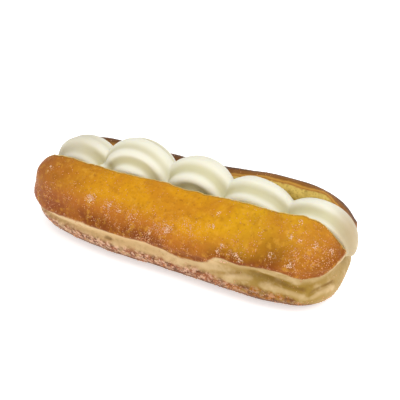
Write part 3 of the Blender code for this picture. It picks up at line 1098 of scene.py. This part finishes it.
@dataclass(frozen=True)
class Shell:
    """One piped shell: a ridged tube on an arch along the bun."""

    middle: float
    crest: float
    left: float
    right: float
    radius: float
    left_taper: float
    right_taper: float
    ridges: int = 6
    ridge_depth: float = 0.11
    turn: float = -3.0
    top_angle: float = math.radians(116)
    low_smooth: float = 0.9
    low_bulge: float = 0.16
    right_sweep: float = math.radians(112)
    right_spread: float = 0.0
    left_sweep: float = math.radians(112)
    rise: float = 10 * MM
    squareness: float = 0.7
    top_smooth: float = 0.8
    top_width: float = math.radians(32)
    low_angle: float = math.radians(-24)
    low_width: float = math.radians(26)

    def base(self) -> float:
        """Height of the arch's middle."""
        return self.crest - self.radius - self.rise

    def station(self, share: float) -> tuple[Vector, Vector, float, float]:
        """The tube at a share from -1 at its left end to 1 at its right.

        Args:
            share: Where along the tube.

        Returns:
            Its middle, the direction out of the arch, its radius, and its width as a share of its thickness.
        """
        if share < 0:
            reach, taper, sweep = self.left, self.left_taper, self.left_sweep * share
        else:
            reach, taper, sweep = self.right, self.right_taper, self.right_sweep * share
        sine = math.sin(sweep)
        cosine = math.cos(sweep)
        middle = Vector((self.middle + reach * sine, 0.0, self.base() + self.rise * cosine))
        outward = Vector((self.rise * sine, 0.0, reach * cosine)).normalized()
        width = 1 + self.right_spread * ease(share, 0.0, 1.0)
        return middle, outward, self.radius * (1 - taper * share * share), width

    def groove(self, angle: float) -> float:
        """How deep in a groove an angle lies, from 0 on a ridge to 1. The top and near lip are smoother."""
        lobe = math.cos(self.ridges * (angle - math.pi / 2 - math.radians(self.turn)))
        rise = math.tanh(self.squareness * lobe) / math.tanh(self.squareness)
        top = hump(math.remainder(angle - self.top_angle, math.tau), self.top_width)
        return 0.5 * (1 - rise) * (1 - self.top_smooth * top) * (1 - self.low_smooth * self.low(angle))

    def low(self, angle: float) -> float:
        """How near an angle lies to the place low down where the cream bulges out against the near lip."""
        return hump(math.remainder(angle - self.low_angle, math.tau), self.low_width)

    def star(self, angle: float) -> float:
        """Radius of the nozzle's star at an angle, as a share of the tube's radius."""
        return 1 - 2 * self.ridge_depth * self.groove(angle) + self.low_bulge * self.low(angle)

    def share_beside(self, point: Vector) -> float:
        """Where along the tube a point lies, from -1 at its left end to 1 at its right."""
        left = point.x < self.middle
        reach, limit = (self.left, self.left_sweep) if left else (self.right, self.right_sweep)
        sweep = math.atan2((point.x - self.middle) / reach, (point.z - self.base()) / self.rise)
        return max(-1.0, min(1.0, sweep / limit))


@dataclass
class Cream:
    """The filling: a bed, and five shells piped on it with a star nozzle."""

    split: Split
    shells: tuple[Shell, ...] = (
        Shell(-57.7 * MM, 52.0 * MM, 10.5 * MM, 9.5 * MM, 10.8 * MM, 0.15, 0.15, turn=-12.0),
        Shell(-26.2 * MM, 57.6 * MM, 11 * MM, 11 * MM, 11.2 * MM, 0.15, 0.2, 8, 0.07, -1.0, math.radians(88)),
        Shell(
            7.3 * MM,
            55.6 * MM,
            10 * MM,
            10 * MM,
            10.8 * MM,
            0.15,
            0.2,
            turn=-6.0,
            low_smooth=0.0,
            low_bulge=0.0,
        ),
        Shell(35.3 * MM, 51.2 * MM, 9.5 * MM, 15 * MM, 10.8 * MM, 0.15, 0.25),
        Shell(
            66.0 * MM,
            47.8 * MM,
            9 * MM,
            13.3 * MM,
            10.2 * MM,
            0.15,
            0.2,
            right_sweep=math.radians(101),
            right_spread=0.3,
        ),
    )
    bed_floor: float = 12 * MM
    bed_top_left: float = 43.5 * MM
    bed_top_right: float = 36.5 * MM
    bed_start: float = -77 * MM
    bed_end: float = 80 * MM
    bed_low_left: float = 24 * MM
    bed_low_right: float = 26 * MM
    slope_left: float = -62 * MM
    slope_right: float = 48 * MM
    bed_width: float = 66 * MM
    gap: float = 0.3 * MM
    sides: int = 100
    rings: int = 70
    voxel: float = 0.62 * MM
    swell: float = 0.25 * MM
    piping_lines: float = 0.07 * MM

    def shell_piece(self, number: int, shell: Shell) -> bpy.types.Object:
        """A ridged tube that rises out of the bed, over its crest and down into the bed again."""
        bm = make_tube(self.rings, self.sides)
        for vertex in bm.verts:
            centre, outward, radius, width = shell.station(2 * vertex.co.x - 1)
            angle = 2 * math.pi * vertex.co.y
            size = radius * shell.star(angle)
            across = Vector((0.0, -size * width * math.cos(angle), 0.0))
            vertex.co = centre + outward * (size * math.sin(angle)) + across
        close_tube(bm)
        return new_piece(f"shell_{number}", bm)

    def bed(self) -> bpy.types.Object:
        """The cream below the shells: a block with a top that slopes down towards each end."""
        bm = bmesh.new()
        bmesh.ops.create_cube(bm, size=1.0)
        for x in (self.slope_left, self.slope_right):
            bmesh.ops.bisect_plane(
                bm,
                geom=bm.verts[:] + bm.edges[:] + bm.faces[:],
                plane_co=((x - self.bed_start) / (self.bed_end - self.bed_start) - 0.5, 0.0, 0.0),
                plane_no=(1.0, 0.0, 0.0),
            )
        for vertex in bm.verts:
            x = self.bed_start + (self.bed_end - self.bed_start) * (vertex.co.x + 0.5)
            if x < self.slope_left - MM:
                top = self.bed_low_left
            elif x < 0:
                top = self.bed_top_left
            elif x < self.slope_right + MM:
                top = self.bed_top_right
            else:
                top = self.bed_low_right
            z = self.bed_floor + (top - self.bed_floor) * (vertex.co.z + 0.5)
            vertex.co = Vector((x, self.bed_width * vertex.co.y, z))
        return new_piece("cream_filling", bm)

    def section_place(self, point: Vector) -> tuple[float, float]:
        """Where a point lies on the shells.

        Args:
            point: A point of the cream's skin.

        Returns:
            How deep in a groove it is, from 0 to 1, and its angle round the tube whose skin is nearest.
        """
        best = (0.0, 0.0)
        closest = math.inf
        for shell in self.shells:
            centre, outward, radius, width = shell.station(shell.share_beside(point))
            across = point - centre
            across.y /= width
            angle = math.atan2(across.dot(outward), -across.y)
            miss = abs(across.length - radius * shell.star(angle))
            if miss < closest:
                best = (shell.groove(angle), angle)
                closest = miss
        return best

    def build(self) -> bpy.types.Object:
        """Makes the cream's mesh: bed and shells joined, trimmed to the split, and softened."""
        piece = self.bed()
        for number, shell in enumerate(self.shells, 1):
            combine(piece, "UNION", self.shell_piece(number, shell))
        combine(piece, "INTERSECT", self.split.tool("cream_room", 120, 90, self.gap, False))
        skin = piece.modifiers.new("skin", "REMESH")
        skin.mode = "VOXEL"
        skin.voxel_size = self.voxel
        soft = piece.modifiers.new("soft", "SMOOTH")
        soft.factor = 0.5
        soft.iterations = 3
        settle(piece)
        mesh = piece.data
        grooves = []
        places = []
        for vertex in mesh.vertices:
            groove, angle = self.section_place(vertex.co)
            lines = noise.noise(Vector((math.cos(angle) * 9, math.sin(angle) * 9, vertex.co.x / (30 * MM))))
            rise = self.piping_lines * lines + self.swell * noise.noise(vertex.co / (11 * MM))
            places.extend(vertex.co + vertex.normal * rise)
            grooves.append(groove)
        mesh.vertices.foreach_set("co", places)
        store(piece, Attribute.GROOVE, grooves)
        mesh.shade_smooth()
        mesh.materials.clear()
        mesh.materials.append(CreamFinish().material())
        return piece


@dataclass(frozen=True)
class Grain:
    """One sugar crystal on the crust."""

    place: Vector
    normal: Vector
    white: float
    size: float


@dataclass(frozen=True)
class Cluster:
    """A patch of sugar at a pixel of the photograph."""

    pixel: Pixel
    grains: int
    reach: float
    thick_reach: float = 3.2 * MM

    def thick(self) -> float:
        """How closely its crystals lie, from 1 in a clump down to 0 in a wide, loose patch."""
        return min(1.0, self.thick_reach / self.reach)

    def share(self, away: Vector) -> float:
        """How thickly fine sugar lies at a step away from the middle."""
        return self.thick() * hump(away.length, self.reach)


@dataclass
class Sugar:
    """Sugar crystals that cling to the crust."""

    camera: PhotoCamera
    bun: bpy.types.Object
    seed: int = 41
    lowest: float = 1.5 * MM
    wide_patches: float = 7 * MM
    narrow_patches: float = 2.5 * MM
    above_low: Fade = Fade(5.0, 22.0)
    right_end: Fade = Fade(25 * MM, 72 * MM)
    near_side: Fade = Fade(-4 * MM, 6 * MM)
    on_crust: Fade = Fade(0.0, 2.0)
    above_bottom: Fade = Fade(10 * MM, 14 * MM)
    scattered: int = 4000
    lone_white: float = 0.55
    least_white: float = 0.3
    stand: float = 0.15
    batch: int = 150
    small: float = 0.2 * MM
    large: float = 0.44 * MM
    clustered_size: float = 1.05
    step: float = 0.75 * MM
    recent: int = 12
    powder: float = 0.55
    clusters: tuple[Cluster, ...] = (
        Cluster((91, 199), 70, 3.2 * MM),
        Cluster((109, 205), 14, 1.6 * MM),
        Cluster((118, 210), 16, 1.8 * MM),
        Cluster((148, 232), 18, 1.8 * MM),
        Cluster((166, 227), 60, 3.2 * MM),
        Cluster((211, 226), 20, 1.8 * MM),
        Cluster((219, 214), 14, 1.4 * MM),
        Cluster((218, 251), 16, 1.6 * MM),
        Cluster((222, 246), 14, 1.4 * MM),
        Cluster((224, 262), 20, 2.2 * MM),
        Cluster((235, 255), 18, 1.6 * MM),
        Cluster((239, 261), 16, 1.6 * MM),
        Cluster((271, 255), 16, 1.8 * MM),
        Cluster((287, 264), 26, 2.6 * MM),
        Cluster((290, 237), 16, 1.6 * MM),
        Cluster((300, 241), 12, 1.4 * MM),
        Cluster((301, 222), 16, 1.6 * MM),
        Cluster((314, 245), 26, 2.2 * MM),
        Cluster((332, 250), 20, 2.0 * MM),
        Cluster((50, 169), 16, 2.4 * MM),
        Cluster((112, 206), 60, 7.0 * MM),
        Cluster((134, 219), 40, 5.5 * MM),
        Cluster((158, 232), 90, 8.0 * MM),
        Cluster((190, 230), 40, 6.0 * MM),
        Cluster((318, 254), 120, 11.0 * MM),
    )

    def clump(self, rng: random.Random, tree: BVHTree, middle: Vector, cluster: Cluster) -> list[Grain]:
        """The crystals of one uneven cluster, each put beside one of the last few."""
        places = [middle]
        found = []
        step = self.step / cluster.thick()
        for _ in range(cluster.grains):
            place = rng.choice(places[-self.recent :]) + Vector([rng.gauss(0.0, step) for _ in range(3)])
            if (place - middle).length > cluster.reach:
                place = middle + (place - middle) * 0.5
            place, normal, _, _ = tree.find_nearest(place)
            places.append(place)
            white = cluster.thick() * rng.uniform(self.least_white, 1.0)
            found.append(Grain(place, normal, white, self.clustered_size))
        return found

    def grains(self, rng: random.Random) -> list[Grain]:
        """All crystals: scattered ones, then the clusters."""
        bm = bmesh.new()
        bm.from_mesh(self.bun.data)
        bmesh.ops.delete(bm, geom=[face for face in bm.faces if face.material_index == 1], context="FACES")
        tree = BVHTree.FromBMesh(bm)
        bm.free()
        found = []
        mesh = self.bun.data
        levels = read(self.bun, Attribute.EDGE)
        faces = [face for face in mesh.polygons if face.material_index == 0 and face.center.z > self.lowest]
        weights = [face.area * self.density(face.center, levels[face.vertices[0]]) for face in faces]
        for face in rng.choices(faces, weights, k=self.scattered):
            corners = [mesh.vertices[index].co for index in face.vertices[:3]]
            shares = [rng.random() for _ in corners]
            place = sum((corner * share for corner, share in zip(corners, shares)), Vector()) / sum(shares)
            found.append(Grain(place, face.normal.copy(), self.lone_white * rng.random() ** 2, 1.0))
        middles = [self.camera.cast(tree, cluster.pixel) for cluster in self.clusters]
        for cluster, middle in zip(self.clusters, middles):
            found.extend(self.clump(rng, tree, middle, cluster))
        powder = []
        for vertex in mesh.vertices:
            shares = [cluster.share(vertex.co - middle) for cluster, middle in zip(self.clusters, middles)]
            powder.append(self.powder * max(shares))
        store(self.bun, Attribute.DUST, powder)
        return found

    def density(self, place: Vector, level: float) -> float:
        """How thickly the sugar lies at a place.

        Args:
            place: A place on the crust.
            level: How many millimetres it lies above the lower edge of the top crust.

        Returns:
            A weight of 0 or more.
        """
        patch = 0.5 + 0.5 * noise.noise(place / self.wide_patches)
        patch += 0.35 * noise.noise(place / self.narrow_patches)
        low = 1 - self.above_low.at(level)
        right = self.right_end.at(place.x)
        near = self.near_side.at(-place.y)
        top = self.on_crust.at(level) * (0.06 + 0.45 * low + 0.35 * right * near)
        bottom = (1 - self.above_bottom.at(place.z)) * (1 - 0.5 * right)
        return max(0.0, patch) ** 4 * (0.03 + top + 0.6 * bottom) * (1 - right * (1 - near))

    def build(self) -> bpy.types.Object:
        """Makes the crystals as one mesh of small turned blocks."""
        rng = random.Random(self.seed)
        grains = self.grains(rng)
        whole = bmesh.new()
        spread = self.large - self.small
        for first in range(0, len(grains), self.batch):
            part = bmesh.new()
            for grain in grains[first : first + self.batch]:
                size = [grain.size * (self.small + spread * rng.random() ** 2) for _ in range(3)]
                turn = Euler([rng.uniform(0, math.tau) for _ in range(3)]).to_matrix().to_4x4()
                lift = grain.normal * (self.stand * min(size))
                shape = Matrix.Translation(grain.place + lift) @ turn @ Matrix.Diagonal((*size, 1.0))
                bmesh.ops.create_cube(part, size=1.0, matrix=shape)
            mesh = bpy.data.meshes.new("batch")
            part.to_mesh(mesh)
            part.free()
            whole.from_mesh(mesh)
            bpy.data.meshes.remove(mesh)
        piece = new_piece("sugar_crystals", whole)
        corners = len(piece.data.vertices) // len(grains)
        store(piece, Attribute.DUST, [grain.white for grain in grains for _ in range(corners)])
        piece.data.shade_flat()
        piece.data.materials.append(SugarFinish().material())
        return piece


@dataclass(frozen=True)
class Lamp:
    """A soft square lamp aimed at the doughnut."""

    name: str
    place: Vector
    size: float
    watts: float


@dataclass
class Studio:
    """Pale floor and soft light."""

    floor_size: float = 60.0
    floor_drop: float = 0.05 * MM
    world_strength: float = 0.74
    lamps: tuple[Lamp, ...] = (
        Lamp("key", Vector((0.5, -0.3, 0.85)), 0.55, 4.2),
        Lamp("fill", Vector((-0.6, -0.8, 0.5)), 0.8, 0.3),
    )

    def floor(self) -> None:
        """A wide pale floor under the doughnut."""
        bm = bmesh.new()
        bmesh.ops.create_grid(bm, x_segments=2, y_segments=2, size=self.floor_size / 2)
        bmesh.ops.translate(bm, verts=bm.verts, vec=(0.0, 0.0, -self.floor_drop))
        piece = new_piece("floor", bm, outward=False)
        piece.data.materials.append(FloorFinish().material())

    def light(self) -> None:
        """Lamps and the even light of the room."""
        for lamp in self.lamps:
            data = bpy.data.lights.new(lamp.name, "AREA")
            data.size = lamp.size
            data.energy = lamp.watts
            piece = bpy.data.objects.new(lamp.name, data)
            piece.location = lamp.place
            piece.rotation_euler = (-lamp.place).to_track_quat("-Z", "Y").to_euler()
            bpy.context.scene.collection.objects.link(piece)
        world = bpy.data.worlds.new("room")
        world.use_nodes = True
        sky = world.node_tree.nodes["Background"]
        sky.inputs["Color"].default_value = (1.0, 1.0, 1.0, 1.0)
        sky.inputs["Strength"].default_value = self.world_strength
        bpy.context.scene.world = world
        bpy.context.scene.view_settings.view_transform = "Standard"

    def build(self) -> None:
        """Makes the floor and the light."""
        self.floor()
        self.light()


def seat(piece: bpy.types.Object, nodes: tuple[str, ...] = ()) -> None:
    """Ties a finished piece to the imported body.

    Args:
        piece: The piece.
        nodes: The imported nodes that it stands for.
    """
    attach(piece, BODY)
    if nodes:
        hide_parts(*nodes)
    piece.data.calc_loop_triangles()
    LOG.info("%s: %d triangles", piece.name, len(piece.data.loop_triangles))


def main() -> None:
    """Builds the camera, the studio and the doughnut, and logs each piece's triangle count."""
    logging.basicConfig(level=logging.INFO, format="%(message)s")
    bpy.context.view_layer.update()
    camera = PhotoCamera()
    camera.build()
    Studio().build()
    split = Split()
    bread = Bun(Loaf(), split, camera).build()
    seat(bread, ("bun",))
    cream = Cream(split).build()
    seat(cream, ("cream",))
    sugar = Sugar(camera, bread).build()
    seat(sugar)


if __name__ == "__main__":
    main()
